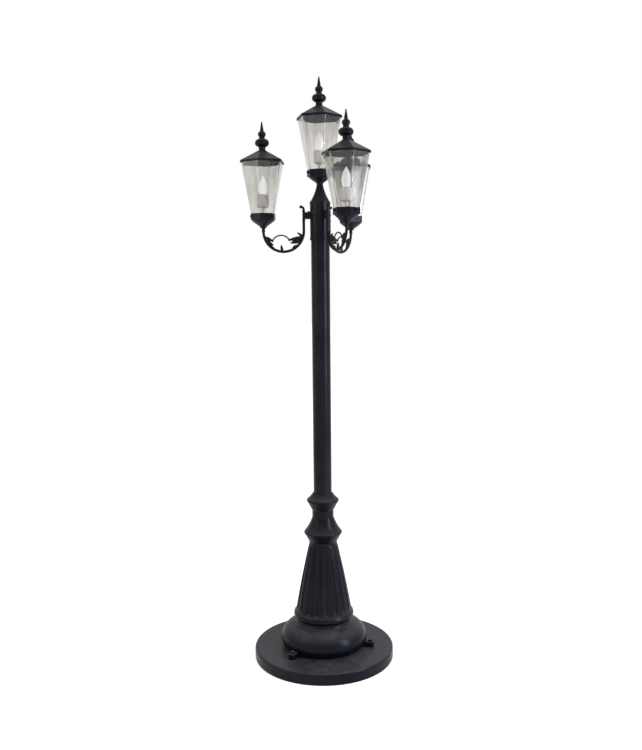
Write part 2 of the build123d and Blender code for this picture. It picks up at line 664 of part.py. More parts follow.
def arm():
    """One casting, in the XZ plane, with the lead's bore through it."""
    bar_top = STUB_LEVEL + BAR_RISE
    curl_end = (BAR_PLACE + CURL_OUT, 0, bar_top + CURL_UP)
    bow_bottom = (BOW_MIDDLE, 0, BOW_LEVEL - BOW_RADIUS)
    spine = Wire([
        Line((ARM_REACH, 0, STEM_TOP), (ARM_REACH, 0, BOW_LEVEL)),
        ThreePointArc((ARM_REACH, 0, BOW_LEVEL), bow_bottom, (BAR_PLACE, 0, BOW_LEVEL)),
        Line((BAR_PLACE, 0, BOW_LEVEL), (BAR_PLACE, 0, bar_top)),
        TangentArc((BAR_PLACE, 0, bar_top), curl_end, tangent=(0, 0, 1)),
    ])
    body = swept(ARM_TUBE_RADIUS, spine)
    body += Pos(*curl_end) * Sphere(CURL_BALL_RADIUS)
    stub_end = BAR_PLACE
    stub = (LUG_REACH + stub_end) / 2
    body += Pos(stub, 0, STUB_LEVEL) * Box(stub_end - LUG_REACH, ARM_TUBE_RADIUS * 2 - 0.6, LUG_HEIGHT)
    body += Pos(LUG_REACH + 2.5, 0, STUB_LEVEL) * Box(5, LUG_WIDTH, LUG_HEIGHT)
    body += Pos(0, 0, STUB_LEVEL) * Rot(0, 90, 0) * rod(
        SPIGOT_RADIUS, LUG_REACH - SPIGOT_LENGTH, LUG_REACH + 5
    )
    body += Pos(ARM_REACH, 0, STEM_TOP - STEM_TAPER_LENGTH / 2) * Cone(
        ARM_TUBE_RADIUS * 0.8, STEM_RADIUS, STEM_TAPER_LENGTH
    )
    pods = [
        (bow_point(-16, BOW_RADIUS), bow_point(-39, 59), 7.2),
        (bow_point(-32, BOW_RADIUS), bow_point(-55, 64), 6.8),
        (bow_point(-48, BOW_RADIUS), bow_point(-68, 73), 5.8),
        ((BAR_PLACE + 2, BOW_LEVEL + 14), (BAR_PLACE + 13, BOW_LEVEL - 22), 5.6),
        (bow_point(192, BOW_RADIUS), bow_point(213, 50), 7.8),
        (bow_point(207, BOW_RADIUS), bow_point(232, 56), 7.4),
        (bow_point(224, BOW_RADIUS), bow_point(249, 70), 6.2),
        (bow_point(194, BOW_RADIUS), bow_point(214, BOW_RADIUS + 12), 5.2),
    ]
    for start, end, radius in pods:
        body += spindle(start, end, radius)
    arch_feet = (bow_point(-38, 58), bow_point(216, 46))
    arch_top = (BOW_MIDDLE + 10, BOW_LEVEL - 19)
    arch = ThreePointArc(
        (arch_feet[0][0], 0, arch_feet[0][1]), (arch_top[0], 0, arch_top[1]), (arch_feet[1][0], 0, arch_feet[1][1])
    )
    body += swept(ARCH_TUBE_RADIUS, arch)
    for foot in arch_feet:
        body += Pos(foot[0], 0, foot[1]) * Sphere(ARCH_TUBE_RADIUS * 1.6)
    bud_foot = BOW_LEVEL - BOW_RADIUS
    body += spindle(
        (BOW_MIDDLE + BUD_SHIFT, bud_foot), (BOW_MIDDLE + BUD_SHIFT, bud_foot + BUD_HEIGHT), BUD_RADIUS
    )
    entry = Line((LUG_REACH - SPIGOT_LENGTH - 2, 0, STUB_LEVEL), (BAR_PLACE - LEAD_BEND, 0, STUB_LEVEL))
    nipple_hole_foot = STEM_TOP - NIPPLE_ENGAGEMENT
    body -= swept(LEAD_HOLE_RADIUS, lead_route([entry], (nipple_hole_foot + STEM_TOP) / 2))
    body -= Pos(ARM_REACH, 0, 0) * rod(NIPPLE_RADIUS + SLIP, nipple_hole_foot, STEM_TOP + NIPPLE_ENGAGEMENT)
    return body


# ---- lantern pieces, with the cup's rim at 0 ---------------------------------------
def cup():
    collar_low = -CUP_COLLAR_HEIGHT
    neck = -CUP_HEIGHT
    bowl_height = CUP_HEIGHT - CUP_COLLAR_HEIGHT
    bowl = turned(
        (0, neck),
        (CUP_NECK_RADIUS, neck),
        (CUP_NECK_RADIUS + 1.5, neck + bowl_height * 0.18),
        (
            (CUP_BOWL_RADIUS * 0.62, neck + bowl_height * 0.5),
            (CUP_BOWL_RADIUS * 0.92, neck + bowl_height * 0.84),
        ),
        (CUP_BOWL_RADIUS, collar_low),
        (0, collar_low),
    )
    body = bowl + Pos(0, 0, collar_low) * extrude(hexagon(CUP_COLLAR_RADIUS, 0), CUP_COLLAR_HEIGHT)
    recess_foot = GLASS_FOOT_RADIUS + GLASS_FLARE * CUP_FLOOR + LOOSE
    recess_top = GLASS_FOOT_RADIUS + GLASS_FLARE + LOOSE
    body -= hex_frustum(recess_foot, recess_top, CUP_FLOOR, 1)
    ledge = recess_foot * FLAT - GASKET_WIDTH - LOOSE
    body -= turned(
        (0, CUP_BOWL_FLOOR),
        (NUT_RADIUS + 3, CUP_BOWL_FLOOR),
        (ledge * 0.75, collar_low - CUP_FLOOR_THICKNESS * 1.5),
        (ledge, collar_low),
        (ledge, CUP_FLOOR),
        (0, CUP_FLOOR),
    )
    body -= rod(NIPPLE_RADIUS + SLIP, neck, CUP_BOWL_FLOOR)
    hole = Rot(0, 90, 0) * rod(THUMB_SCREW_RADIUS + SLIP, CUP_COLLAR_RADIUS / 2, CUP_COLLAR_RADIUS)
    body -= around(THUMB_SCREW_COUNT, 30, 0, Pos(0, 0, -THUMB_SCREW_DROP) * hole)
    return body


def thumb_screws():
    collar_flat = CUP_COLLAR_RADIUS * FLAT
    glass_flat = (GLASS_FOOT_RADIUS - GLASS_FLARE * (THUMB_SCREW_DROP - THUMB_SCREW_RADIUS)) * FLAT
    head_low = collar_flat + LOOSE
    head = rod(THUMB_SCREW_HEAD_RADIUS, head_low, head_low + THUMB_SCREW_HEAD_LENGTH)
    head = chamfer(head.edges().filter_by(GeomType.CIRCLE), THUMB_SCREW_HEAD_RADIUS / 6)
    screw = head + rod(THUMB_SCREW_RADIUS, glass_flat + SLIP, head_low + 1)
    screw = Pos(0, 0, -THUMB_SCREW_DROP) * Rot(0, 90, 0) * screw
    return around(THUMB_SCREW_COUNT, 30, 0, screw)


def gasket():
    outer = GLASS_FOOT_RADIUS + GLASS_FLARE * CUP_FLOOR
    ring = extrude(hexagon(outer, CUP_FLOOR) - hexagon(outer - GASKET_WIDTH, CUP_FLOOR), GASKET_THICKNESS)
    return ring


def glass():
    foot_radius = GLASS_FOOT_RADIUS + GLASS_FLARE * GLASS_FOOT
    top_radius = GLASS_FOOT_RADIUS + GLASS_FLARE * GLASS_TOP
    wall = GLASS_WALL / FLAT
    body = hex_frustum(foot_radius, top_radius, GLASS_FOOT, GLASS_TOP)
    return body - hex_frustum(foot_radius - wall, top_radius - wall, GLASS_FOOT, GLASS_TOP)


def roof():
    lip_top = EAVE + ROOF_LIP_HEIGHT
    slope_foot = ROOF_RADIUS - ROOF_LIP_PROUD
    body = Pos(0, 0, EAVE) * extrude(hexagon(ROOF_RADIUS, 0), ROOF_BEAD_HEIGHT)
    body += Pos(0, 0, EAVE) * extrude(hexagon(slope_foot, 0), ROOF_LIP_HEIGHT)
    body += loft(
        [hexagon(slope_foot, lip_top), hexagon(ROOF_CROWN_RADIUS, ROOF_CROWN, CORNER_ROUND / 2)],
        ruled=True,
    )
    pocket = GLASS_FOOT_RADIUS + GLASS_FLARE * GLASS_TOP + LOOSE
    body -= Pos(0, 0, EAVE) * extrude(hexagon(pocket, 0), ROOF_SEAT - EAVE)
    inner_foot = pocket - ROOF_LEDGE
    inner_crown = ROOF_CROWN - ROOF_SHELL
    body -= loft(
        [
            hexagon(inner_foot, ROOF_SEAT),
            hexagon(ROOF_CROWN_RADIUS - ROOF_SHELL, inner_crown, CORNER_ROUND / 2),
        ],
        ruled=True,
    )
    body += rod(ROOF_BOSS_RADIUS, ROOF_CROWN - FINIAL_SHANK_LENGTH, ROOF_CROWN)
    body -= rod(FINIAL_SHANK_RADIUS + SLIP, ROOF_CROWN - FINIAL_SHANK_LENGTH, ROOF_CROWN)
    return body


def finial():
    """Turned ornament, with its threaded shank down in the roof's boss."""
    foot = ROOF_CROWN
    height = FINIAL_HEIGHT
    bulb = foot + height * 0.26
    waist = foot + height * 0.465
    bead = foot + height * 0.58
    spike = foot + height * 0.75
    tip = foot + height
    return turned(
        (0, foot - FINIAL_SHANK_LENGTH),
        (FINIAL_SHANK_RADIUS, foot - FINIAL_SHANK_LENGTH),
        (FINIAL_SHANK_RADIUS, foot),
        (FINIAL_FOOT_RADIUS, foot),
        ((FINIAL_NECK_RADIUS, foot + height * 0.07), (FINIAL_NECK_RADIUS + 1.5, foot + height * 0.14)),
        ((FINIAL_BULB_RADIUS, bulb), (FINIAL_WAIST_RADIUS + 2.5, waist - height * 0.06)),
        (
            (FINIAL_WAIST_RADIUS, waist),
            (FINIAL_WAIST_RADIUS + 1.2, waist + height * 0.03),
        ),
        ((FINIAL_BEAD_RADIUS, bead), (FINIAL_SPIKE_RADIUS + 1.5, bead + height * 0.09)),
        ((FINIAL_SPIKE_RADIUS, spike), (FINIAL_TIP_RADIUS, tip - FINIAL_TIP_RADIUS)),
        (FINIAL_TIP_RADIUS / 2, tip),
        (0, tip),
    )


def nipple():
    """Threaded tube from the stem up through the cup to the socket."""
    return tube(
        NIPPLE_RADIUS, NIPPLE_BORE_RADIUS,
        -CUP_HEIGHT - NIPPLE_ENGAGEMENT, SOCKET_RISE + SOCKET_NIPPLE_DEPTH,
    )


def nut(low):
    return hex_rod(NUT_RADIUS, low, low + NUT_HEIGHT) - rod(NIPPLE_RADIUS + SLIP, low, low + NUT_HEIGHT)


def nuts():
    return [nut(CUP_BOWL_FLOOR), nut(SOCKET_RISE - NUT_HEIGHT)]


def socket():
    top = SOCKET_TOP
    bore = LAMP_CAP_RADIUS + LIFT_GAP
    floor = SOCKET_RISE + SOCKET_FLOOR
    body = turned(
        (0, SOCKET_RISE),
        (SOCKET_RADIUS * 0.62, SOCKET_RISE),
        ((SOCKET_RADIUS * 0.9, SOCKET_RISE + 3.5), (SOCKET_RADIUS, SOCKET_RISE + 12)),
        (SOCKET_RADIUS, top - 6),
        (SOCKET_RADIUS - 1.5, top - 5),
        (SOCKET_RADIUS - 1.5, top - 1.5),
        (SOCKET_RADIUS - 3, top),
        (bore, top),
        (bore, floor),
        (0, floor),
    )
    body -= rod(NIPPLE_RADIUS + SLIP, SOCKET_RISE, SOCKET_RISE + SOCKET_NIPPLE_DEPTH)
    return body


def lamp_cap():
    """Metal screw cap of the lamp, with its end contact."""
    low = LAMP_CAP_FOOT
    ridge = LAMP_CAP_LENGTH / 8
    steps = []
    for index in range(6):
        level = low + ridge * (index + 0.75)
        steps.append(((LAMP_CAP_RADIUS, level + ridge / 2), (LAMP_CAP_RADIUS - 0.9, level + ridge)))
    return turned(
        (0, low - LAMP_CONTACT_LENGTH),
        (LAMP_CONTACT_RADIUS, low - LAMP_CONTACT_LENGTH),
        (LAMP_CONTACT_RADIUS + 1, low),
        (LAMP_CAP_RADIUS - 0.9, low + ridge * 0.75),
        *steps,
        (LAMP_CAP_RADIUS, LAMP_FOOT),
        (0, LAMP_FOOT),
    )


def lamp_glass():
    """Torpedo-shaped lamp envelope."""
    foot = LAMP_FOOT
    top = foot + LAMP_LENGTH
    widest = foot + LAMP_WIDEST_HEIGHT
    return turned(
        (0, foot),
        (LAMP_NECK_RADIUS, foot),
        ((LAMP_RADIUS * 0.87, foot + LAMP_WIDEST_HEIGHT * 0.42), (LAMP_RADIUS, widest)),
        ((LAMP_RADIUS * 0.69, widest + LAMP_LENGTH * 0.33), (LAMP_TIP_RADIUS, top - LAMP_TIP_RADIUS)),
        (LAMP_TIP_RADIUS / 2, top),
        (0, top),
    )


# ---- wiring ----------------------------------------------------------------------
def arm_lead():
    """Lead from the junction block, through the pole's wall and the arm, to a socket."""
    start = [
        Line((LEAD_PLACE, 0, JUNCTION_TOP), (LEAD_PLACE, 0, STUB_LEVEL - LEAD_BEND)),
        TangentArc(
            (LEAD_PLACE, 0, STUB_LEVEL - LEAD_BEND), (LEAD_PLACE + LEAD_BEND, 0, STUB_LEVEL),
            tangent=(0, 0, 1),
        ),
        Line((LEAD_PLACE + LEAD_BEND, 0, STUB_LEVEL), (BAR_PLACE - LEAD_BEND, 0, STUB_LEVEL)),
    ]
    end = STEM_TOP + CUP_HEIGHT + SOCKET_RISE + SOCKET_NIPPLE_DEPTH
    return swept(LEAD_RADIUS, lead_route(start, end))


def top_lead():
    return rod(LEAD_RADIUS, JUNCTION_TOP, SPIRE_TOP + CUP_HEIGHT + SOCKET_RISE + SOCKET_NIPPLE_DEPTH)


def junction_block():
    low = JUNCTION_TOP - JUNCTION_HEIGHT
    return chamfer(rod(POLE_BORE - SLIP, low, JUNCTION_TOP).edges(), 2)


def terminal_block():
    top = BASE_TOP - BASE_WALL
    block = Pos(TERMINAL_PLACE + TERMINAL_LENGTH / 2, 0, top - TERMINAL_HEIGHT / 2) * Box(
        TERMINAL_LENGTH, TERMINAL_WIDTH, TERMINAL_HEIGHT
    )
    return chamfer(block.edges().filter_by(Axis.Z), 2)


def riser_lead():
    """Cable from the terminal block in the base, up the pole to the junction block."""
    level = BASE_TOP - BASE_WALL - TERMINAL_ENTRY_DROP
    path = Wire([
        Line((TERMINAL_PLACE, 0, level), (RISER_BEND, 0, level)),
        TangentArc((RISER_BEND, 0, level), (0, 0, level + RISER_BEND), tangent=(-1, 0, 0)),
        Line((0, 0, level + RISER_BEND), (0, 0, JUNCTION_TOP - JUNCTION_HEIGHT)),
    ])
    return swept(RISER_RADIUS, path)


def cable_gland():
    """Cable entry through the back of the base's rim, open for a supply cable."""
    rim = BASE_RADIUS
    inner_end = rim - BASE_WALL - GLAND_TAIL_LENGTH
    flange_end = rim + GLAND_FLANGE_LENGTH
    body = rod(GLAND_BODY_RADIUS, inner_end, rim)
    body += hex_rod(GLAND_FLANGE_RADIUS, rim, flange_end)
    body += Pos(0, 0, flange_end + GLAND_DOME_LENGTH / 2) * Cone(
        GLAND_DOME_RADIUS, GLAND_DOME_RADIUS * 0.72, GLAND_DOME_LENGTH
    )
    body -= rod(GLAND_BORE_RADIUS, inner_end, flange_end + GLAND_DOME_LENGTH)
    return Rot(0, 0, GLAND_AZIMUTH) * Pos(0, 0, GLAND_HEIGHT) * Rot(0, 90, 0) * body


# ---- assembly --------------------------------------------------------------------
def lantern_places():
    """Where the rim of each lantern's cup is."""
    places = {}
    for name, azimuth in ARMS.items():
        x = ARM_REACH * cos(radians(azimuth))
        y = ARM_REACH * sin(radians(azimuth))
        places[name] = Pos(x, y, STEM_TOP + CUP_HEIGHT) * Rot(0, 0, CLOCKING[name])
    places["top"] = Pos(0, 0, SPIRE_TOP + CUP_HEIGHT) * Rot(0, 0, CLOCKING["top"])
    return places


def all_pieces():
    pieces = {
        "base_disc": base_disc(),
        "base_cover": base_cover(),
        "cover_screws": cover_screws(),
        "base_drum": drum(),
        "ear_bolts": ear_bolts(),
        "pedestal": pedestal(),
        "pedestal_bolts": pedestal_bolts(),
        "lower_collar": lower_collar(),
        "neck_sleeve": neck_sleeve(),
        "upper_collar": upper_collar(),
        "pole": pole(),
        "pole_flange": pole_flange(),
        "flange_bolts": flange_bolts(),
        "arm_hub": arm_hub(),
        "arm_screws": arm_screws(),
        "hub_screws": hub_screws(),
        "spire": spire(),
        "junction_block": junction_block(),
        "terminal_block": terminal_block(),
        "riser_lead": riser_lead(),
        "lead_top": top_lead(),
        "cable_gland": cable_gland(),
    }
    arm_casting = arm()
    lead = arm_lead()
    for name, azimuth in ARMS.items():
        pieces[f"arm_{name}"] = Rot(0, 0, azimuth) * arm_casting
        pieces[f"lead_{name}"] = Rot(0, 0, azimuth) * lead
    lantern = {
        "cup": cup(),
        "glass": glass(),
        "socket": socket(),
        "roof": roof(),
        "finial": finial(),
        "lamp_cap": lamp_cap(),
        "lamp_glass": lamp_glass(),
    }
    shared = {
        "thumb_screws": thumb_screws(),
        "glass_gaskets": [gasket()],
        "nipples": [nipple()],
        "nipple_nuts": nuts(),
    }
    places = lantern_places()
    for place_name, place in places.items():
        for piece_name, shape in lantern.items():
            pieces[f"{piece_name}_{place_name}"] = place * shape
    for group_name, shapes in shared.items():
        pieces[group_name] = group([place * shape for place in places.values() for shape in shapes])
    return pieces


os.makedirs("parts", exist_ok=True)
for node, shape in all_pieces().items():
    export_step(shape, f"parts/{node}.step")
print("height", SPIRE_TOP + CUP_HEIGHT + ROOF_CROWN + FINIAL_HEIGHT)
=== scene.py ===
import json
import math

import bmesh
import bpy
from bpy.props import FloatProperty, FloatVectorProperty, IntProperty, PointerProperty
from mathutils import Matrix, Vector


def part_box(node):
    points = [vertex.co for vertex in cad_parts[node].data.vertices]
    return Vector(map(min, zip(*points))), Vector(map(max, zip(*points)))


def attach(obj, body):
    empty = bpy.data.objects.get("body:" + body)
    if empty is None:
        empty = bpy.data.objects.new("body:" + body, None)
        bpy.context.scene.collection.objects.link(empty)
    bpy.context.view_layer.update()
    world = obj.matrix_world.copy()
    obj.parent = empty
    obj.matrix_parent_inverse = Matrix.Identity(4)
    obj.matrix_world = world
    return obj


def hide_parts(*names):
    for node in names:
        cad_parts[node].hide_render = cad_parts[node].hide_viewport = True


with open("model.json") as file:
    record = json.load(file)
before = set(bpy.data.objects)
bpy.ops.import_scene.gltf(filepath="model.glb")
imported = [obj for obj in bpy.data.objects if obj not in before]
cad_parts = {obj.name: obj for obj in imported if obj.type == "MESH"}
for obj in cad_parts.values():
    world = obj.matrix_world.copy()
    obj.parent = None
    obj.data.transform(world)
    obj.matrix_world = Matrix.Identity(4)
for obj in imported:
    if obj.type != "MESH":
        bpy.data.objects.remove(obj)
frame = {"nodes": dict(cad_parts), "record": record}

bl_info = {
    "name": "Garden Lamp Post",
    "version": (1, 0, 0),
    "blender": (4, 5, 0),
    "location": "3D View > Sidebar > Lamp Post",
    "description": "Dresses the lamp post: painted castings, scroll arms, lanterns and a studio floor",
    "category": "Object",
}

UP = Vector((0, 0, 1))
ARM_AZIMUTHS = {"left": 180.0, "front": -60.0, "back": 60.0}
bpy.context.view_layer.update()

# The arm's lines, from the same sizes as the CAD model (metres, in the arm's own XZ plane).
ARM_REACH = 0.2327
BAR_PLACE = 0.067
STUB_LEVEL = 1.854
BOW_LEVEL = 1.793
STEM_TOP = 1.807
BAR_TOP = 1.880
LUG_REACH = 0.052
BOW_RADIUS = (ARM_REACH - BAR_PLACE) / 2
BOW_MIDDLE = (ARM_REACH + BAR_PLACE) / 2

# Steps down the stem: how far down, and the share of the radius that is kept.
STEM_STEPS = ((0.005, 1.0), (0.0015, 0.86), (0.005, 0.99))
BAR_TOP_SHARE = 0.86      # the bar's radius at its top, as a share of the bow's
CURL_RADIUS = 0.0095
CURL_ANGLE = 100
CURL_TAPER = 0.985        # share of the radius kept at each step of the curl
CURL_BALL = 0.0066
BOW_STEPS = 48
CURL_STEPS = 12
ARCH_STEPS = 28

# Bands round the bar and the stem: place out, level, share of the bow's radius, height.
ARM_BANDS = (
    (BAR_PLACE, STUB_LEVEL + 0.0175, 1.32, 0.0040),
    (BAR_PLACE, STUB_LEVEL - 0.0175, 1.32, 0.0040),
    (ARM_REACH, BOW_LEVEL + 0.0010, 1.40, 0.0045),
)
BAND_WAIST = 0.86         # a band's radius at its ends, as a share of its middle's
BAND_EDGE = 0.22          # share of a band's height that each rounded edge takes

# The block and the plate that meet the hub's lug: width, height and edge.
STUB_SIZE = (0.0106, 0.0270, 0.0018)
PAD_SIZE = (0.0180, 0.0280, 0.0012)
PAD_THICKNESS = 0.005

# The photograph's camera, fitted to the post's own circles and edges.
CAMERA_PLACE = Vector((0.2577, -3.3631, 1.5692))
CAMERA_HEADING = 4.425    # degrees the view is turned from +Y towards -X
CAMERA_DROP = 6.196
CAMERA_ROLL = -0.547
CAMERA_LENS = 39.318
CAMERA_SENSOR = 36.0

# The studio: the floor's side and glow, where the sky is fully bright, and the lamps.
FLOOR_SIDE = 60.0
FLOOR_GLOW = 0.58
SKY_FULL = 0.9            # sine of the height above the horizon
LAMP_AIM = Vector((0, 0, 1.1))
# Lamps: azimuth, distance and height, then size and colour.
KEY_LAMP = ((-26, 4.0, 2.0), (1.0, 2.8), (0.68, 0.78, 1.0))
FILL_LAMP = ((-150, 4.2, 2.4), (2.2, 2.2), (1.0, 0.99, 0.97))

# How far the shaders stretch their noise, on each axis.
PAINT_RUNS = (70.0, 70.0, 3.0)
GLASS_BANDS = (30.0, 30.0, 1.5)
GLASS_WAVES = (110.0, 110.0, 5.0)
# How much the shaders round sharp edges and how deep their grain is, in metres.
PAINT_EDGE = 0.0016
PAINT_GRAIN = 0.0006
PLAIN_EDGE = 0.0006
PLAIN_GRAIN = 0.0003
GLASS_GRAIN = 0.001


# ---- shader nodes ------------------------------------------------------------------
class Shade:
    """A value in a node tree. Sums, differences and products of it add Math nodes."""

    def __init__(self, tree, socket):
        self.tree = tree
        self.socket = socket

    def __add__(self, other):
        return self.tree.math("ADD", self, other)

    __radd__ = __add__

    def __sub__(self, other):
        return self.tree.math("SUBTRACT", self, other)

    def __rsub__(self, other):
        return self.tree.math("SUBTRACT", other, self)

    def __mul__(self, other):
        return self.tree.math("MULTIPLY", self, other)

    __rmul__ = __mul__


class ShadeTree:
    """A node tree with the few calls that the finishes, the floor and the world are written in."""

    def __init__(self, owner):
        owner.use_nodes = True
        self.tree = owner.node_tree

    def feed(self, socket, value):
        if isinstance(value, Shade):
            self.tree.links.new(value.socket, socket)
        else:
            socket.default_value = value

    def add(self, kind, settings, inputs, output=0):
        node = self.tree.nodes.new(kind)
        for key, value in settings.items():
            setattr(node, key, value)
        for key, value in inputs.items():
            self.feed(node.inputs[key], value)
        return Shade(self, node.outputs[output])

    def math(self, operation, *values):
        return self.add("ShaderNodeMath", {"operation": operation}, dict(enumerate(values)))

    def place(self):
        """Where a point is on its piece, in the row frame at rest."""
        return self.add("ShaderNodeTexCoord", {}, {}, output="Object")

    def stretched(self, scale):
        """A point's place with each axis scaled, for a pattern that runs along one of them."""
        return self.add("ShaderNodeMapping", {}, {"Vector": self.place(), "Scale": scale})

    def noise(self, scale, detail=3.0, roughness=0.55, vector=None):
        return self.add(
            "ShaderNodeTexNoise",
            {},
            {
                "Vector": vector or self.place(),
                "Scale": scale,
                "Detail": detail,
                "Roughness": roughness,
            },
        )

    def ramp(self, value, low, high, start=0.0, end=1.0):
        """Smooth step of a value from low to high, as a number from start to end."""
        return self.add(
            "ShaderNodeMapRange",
            {"interpolation_type": "SMOOTHSTEP"},
            {"Value": value, "From Min": low, "From Max": high, "To Min": start, "To Max": end},
        )

    def blend(self, share, low, high):
        """Colour between two, by a share from 0 to 1."""
        return self.add(
            "ShaderNodeMix", {"data_type": "RGBA"}, {0: share, 6: low, 7: high}, output=2
        )


class Finish(ShadeTree):
    """A material: one Principled shader and what varies over it."""

    def __init__(self, name, constants):
        self.material = bpy.data.materials.new(name)
        super().__init__(self.material)
        self.shader = self.tree.nodes["Principled BSDF"]
        for socket, value in constants.items():
            self.shader.inputs[socket].default_value = value

    def set(self, socket, value):
        self.feed(self.shader.inputs[socket], value)

    def eased(self, radius):
        """The surface's normal with its sharp edges rounded by a radius."""
        return self.add("ShaderNodeBevel", {"samples": 4}, {"Radius": radius})

    def facing_up(self):
        """1 on faces that look straight up, 0 on upright ones and less below."""
        normal = self.add("ShaderNodeTexCoord", {}, {}, output="Normal")
        return self.add("ShaderNodeSeparateXYZ", {}, {"Vector": normal}, output="Z")

    def edge(self, eased):
        """1 along sharp edges and 0 on the flats, from the eased normal."""
        flat = self.add("ShaderNodeNewGeometry", {}, {}, output="Normal")
        along = self.add(
            "ShaderNodeVectorMath",
            {"operation": "DOT_PRODUCT"},
            {0: eased, 1: flat},
            output="Value",
        )
        return self.ramp(1.0 - along, 0.02, 0.2)

    def bumped(self, height, strength, distance, normal=None):
        """Gives the shader a bump from a height, over the eased normal where one is given."""
        inputs = {"Height": height, "Strength": strength, "Distance": distance}
        if normal:
            inputs["Normal"] = normal
        self.set("Normal", self.add("ShaderNodeBump", {}, inputs))


def tone(colour, factor):
    """A colour made lighter or darker, with full alpha."""
    return tuple(channel * factor for channel in colour[:3]) + (1.0,)


# ---- settings ----------------------------------------------------------------------
class LampPostFinishSettings(bpy.types.PropertyGroup):
    paint: FloatVectorProperty(
        name="Paint", description="Colour of the black paint", subtype="COLOR",
        size=4, min=0, max=1, default=(0.0042, 0.0042, 0.0074, 1.0),
    )
    # The dust colour also serves as painted light: it makes upward faces lighter, as if lit from
    # above.
    dust_and_top_light: FloatVectorProperty(
        name="Dust", description="Colour of the dust that lies on upward faces", subtype="COLOR",
        size=4, min=0, max=1, default=(0.066, 0.066, 0.073, 1.0),
    )
    iron_roughness: FloatProperty(
        name="Iron roughness", description="Roughness of the painted cast iron",
        min=0, max=1, default=0.38, subtype="FACTOR",
    )
    steel_roughness: FloatProperty(
        name="Steel roughness", description="Roughness of the painted pole",
        min=0, max=1, default=0.34, subtype="FACTOR",
    )
    casting_roughness: FloatProperty(
        name="Casting roughness", description="Roughness of the arms' and lanterns' paint",
        min=0, max=1, default=0.38, subtype="FACTOR",
    )
    glass_tint: FloatVectorProperty(
        name="Glass tint", description="Colour that the lanterns' glass gives", subtype="COLOR",
        size=4, min=0, max=1, default=(0.76, 0.745, 0.722, 1.0),
    )


class LampPostArmSettings(bpy.types.PropertyGroup):
    tube_radius: FloatProperty(
        name="Tube radius", description="Radius of an arm's bow", unit="LENGTH",
        min=0.003, max=0.012, default=0.0056,
    )
    stem_radius: FloatProperty(
        name="Stem radius", description="Radius of an arm's stem under the lantern", unit="LENGTH",
        min=0.004, max=0.014, default=0.0076,
    )
    arch_radius: FloatProperty(
        name="Arch radius", description="Radius of the thin arch over the bow", unit="LENGTH",
        min=0.001, max=0.006, default=0.0030,
    )
    grain: FloatProperty(
        name="Casting grain", description="Size of the grid that melts an arm into one casting",
        unit="LENGTH", min=0.0005, max=0.003, default=0.00085,
    )
    flutes: IntProperty(
        name="Leaf flutes", description="Flutes round each of an arm's leaves",
        min=3, max=10, default=6,
    )


class LampPostStageSettings(bpy.types.PropertyGroup):
    floor: FloatVectorProperty(
        name="Floor", description="Colour of the studio floor", subtype="COLOR",
        size=4, min=0, max=1, default=(0.80, 0.80, 0.80, 1.0),
    )
    key_power: FloatProperty(
        name="Key light", description="Power of the large lamp on the right", unit="POWER",
        min=0, max=2000, default=120,
    )
    fill_power: FloatProperty(
        name="Fill light", description="Power of the soft lamp on the left", unit="POWER",
        min=0, max=2000, default=24,
    )
    sky_level: FloatProperty(
        name="Sky level", description="Strength of the soft light from overhead",
        min=0, max=2, default=0.90,
    )
    horizon_level: FloatProperty(
        name="Horizon level", description="Strength of the soft light from the sides",
        min=0, max=2, default=0.32,
    )


# ---- modelling helpers ----------------------------------------------------------------
def deselect():
    if bpy.context.object and bpy.context.object.mode != "OBJECT":
        bpy.ops.object.mode_set(mode="OBJECT")
    bpy.ops.object.select_all(action="DESELECT")


def choose(piece):
    deselect()
    piece.select_set(True)
    bpy.context.view_layer.objects.active = piece


def start_ring(name, radius, corners, place, turn=(0, 0, 0)):
    """Open ring of edges, in edit mode with all of it selected."""
    deselect()
    bpy.ops.mesh.primitive_circle_add(
        vertices=corners, radius=radius, fill_type="NOTHING", location=place, rotation=turn
    )
    piece = bpy.context.object
    piece.name = name
    bpy.ops.object.transform_apply(location=True, rotation=True, scale=True)
    bpy.ops.object.mode_set(mode="EDIT")
    bpy.ops.mesh.select_all(action="SELECT")
    return piece


def grow(step, centre, scale=1.0):
    """Extrudes the selected ring by a step and resizes it about its new centre."""
    bpy.ops.mesh.extrude_region_move(TRANSFORM_OT_translate={"value": tuple(step)})
    centre = Vector(centre) + Vector(step)
    if scale != 1.0:
        bpy.ops.transform.resize(value=(scale,) * 3, center_override=tuple(centre))
    return centre


def turn_ring(hinge, angle, steps, centre, scale=1.0):
    """Spins the selected ring about Y through a hinge point, resizing it a little each step."""
    for _ in range(steps):
        bpy.ops.mesh.spin(steps=1, angle=angle / steps, center=tuple(hinge), axis=(0, -1, 0))
        centre = hinge + Matrix.Rotation(angle / steps, 3, "Y") @ (centre - hinge)
        if scale != 1.0:
            bpy.ops.transform.resize(value=(scale,) * 3, center_override=tuple(centre))
    return centre


def select_verts(piece, test):
    bpy.ops.mesh.select_mode(type="VERT")
    mesh = bmesh.from_edit_mesh(piece.data)
    for vert in mesh.verts:
        vert.select_set(test(vert.co))
    mesh.select_flush_mode()
    bmesh.update_edit_mesh(piece.data)


def close_ends(piece):
    """Fills every open ring of a tube and turns all faces outwards."""
    bpy.ops.mesh.select_all(action="SELECT")
    bpy.ops.mesh.remove_doubles(threshold=1e-6)
    bpy.ops.mesh.fill_holes(sides=0)
    bpy.ops.mesh.select_all(action="SELECT")
    bpy.ops.mesh.normals_make_consistent(inside=False)
    bpy.ops.object.mode_set(mode="OBJECT")


def modify(piece, kind, settings):
    choose(piece)
    bpy.ops.object.modifier_add(type=kind)
    modifier = piece.modifiers[-1]
    for key, value in settings.items():
        setattr(modifier, key, value)
    bpy.ops.object.modifier_apply(modifier=modifier.name)


def put(piece, matrix):
    """Places a piece and applies the place to its mesh."""
    choose(piece)
    piece.matrix_world = matrix
    bpy.ops.object.transform_apply(location=True, rotation=True, scale=True)


